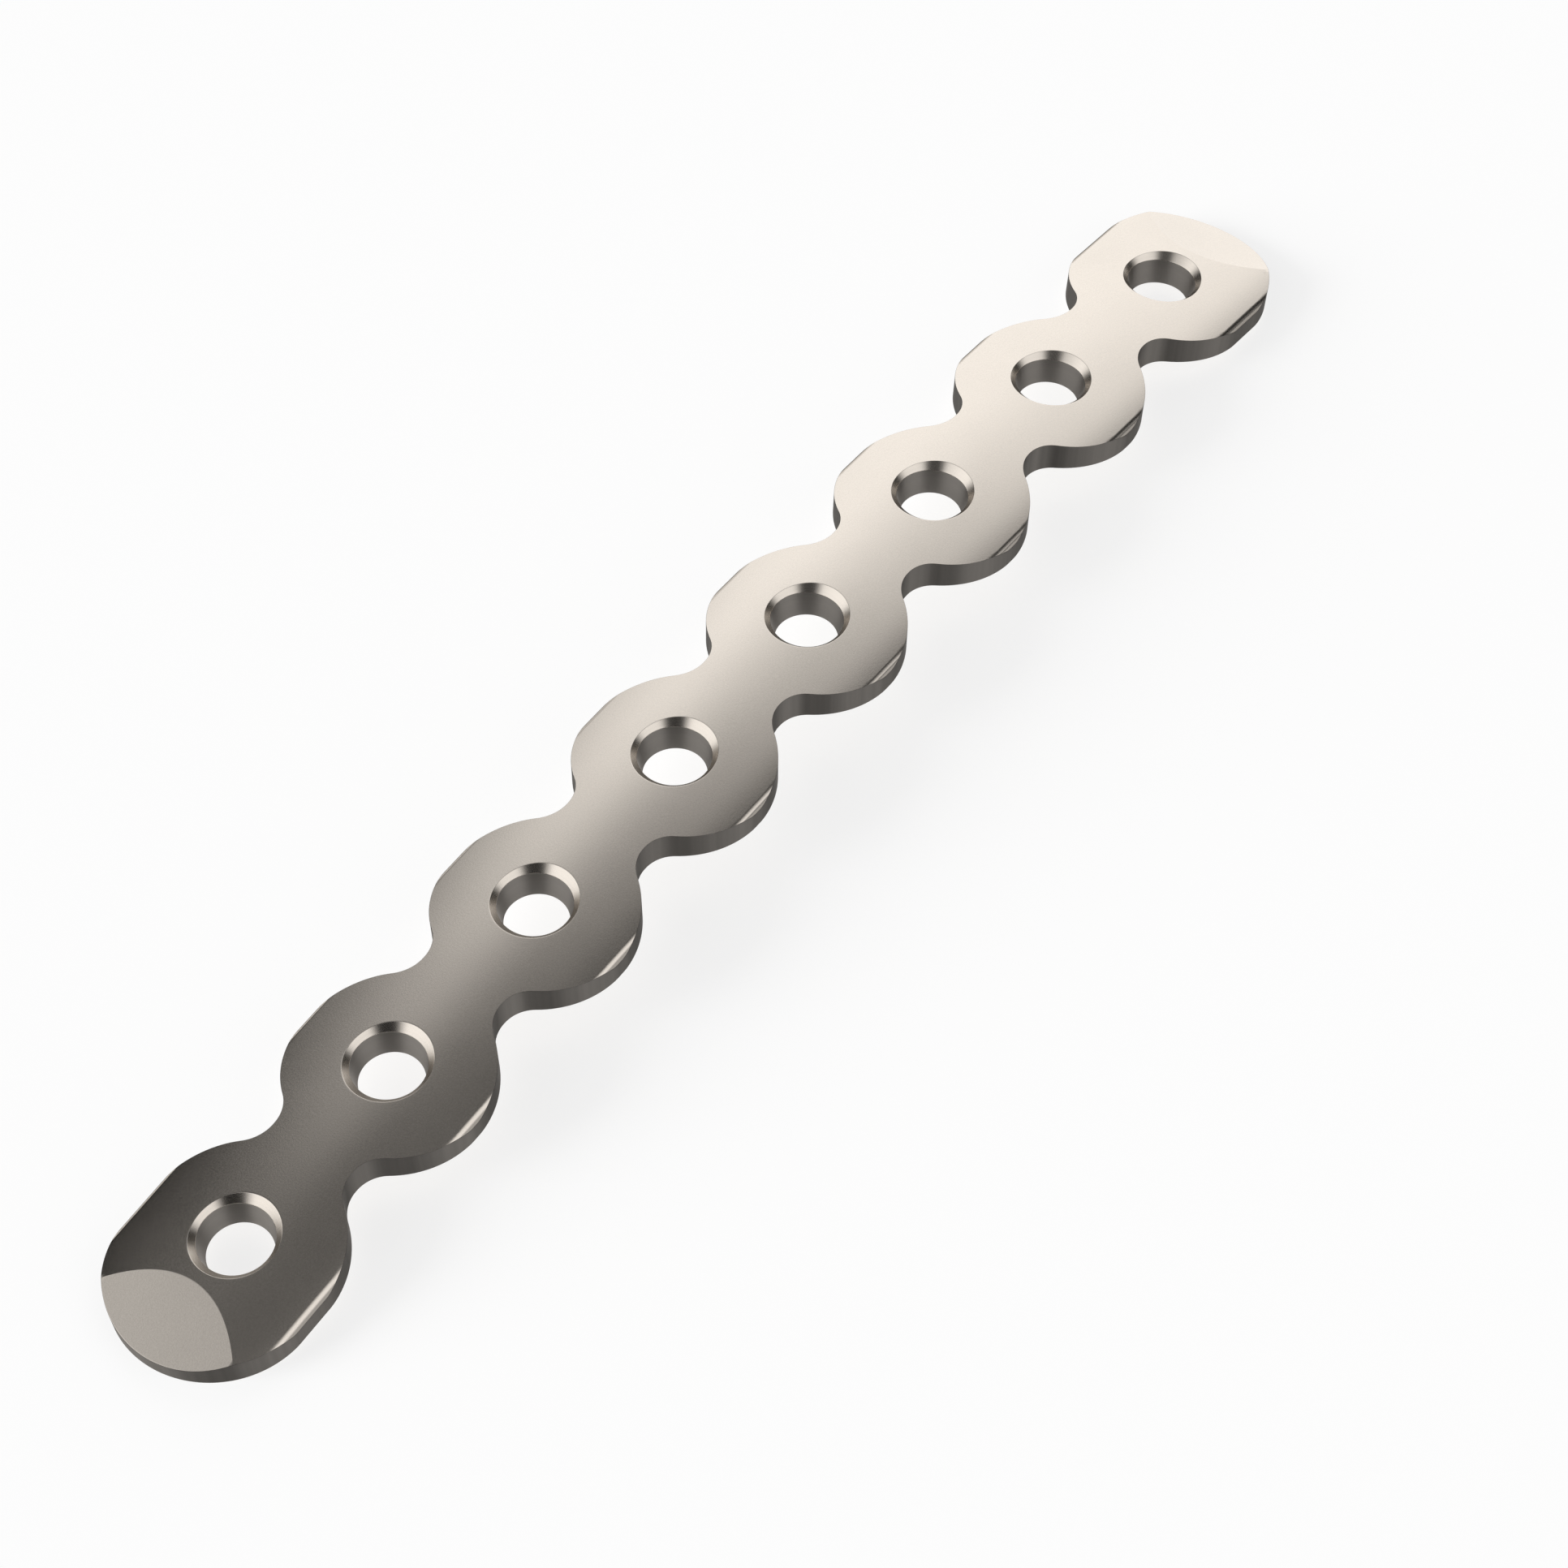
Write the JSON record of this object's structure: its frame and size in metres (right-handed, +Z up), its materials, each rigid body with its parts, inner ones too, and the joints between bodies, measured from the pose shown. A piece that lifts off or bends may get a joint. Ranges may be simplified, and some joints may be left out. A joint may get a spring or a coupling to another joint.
{
  "type": "orthopedic bone plate",
  "caption": "Straight scalloped bone plate with a crowned face, a shallow lengthwise bend, ramped round ends and countersunk screw holes.",
  "frame": {"origin": "under the middle of the plate, on the surface that its two ends stand on", "axes": "+X along the plate, +Y across it, +Z up out of its crowned outer face"},
  "size_m": [0.0818, 0.0092, 0.0044],
  "materials": {
    "titanium": "fine satin titanium, warm grey"
  },
  "bodies": {
    "root": {"bone_plate": "titanium"}
  },
  "joints": []
}
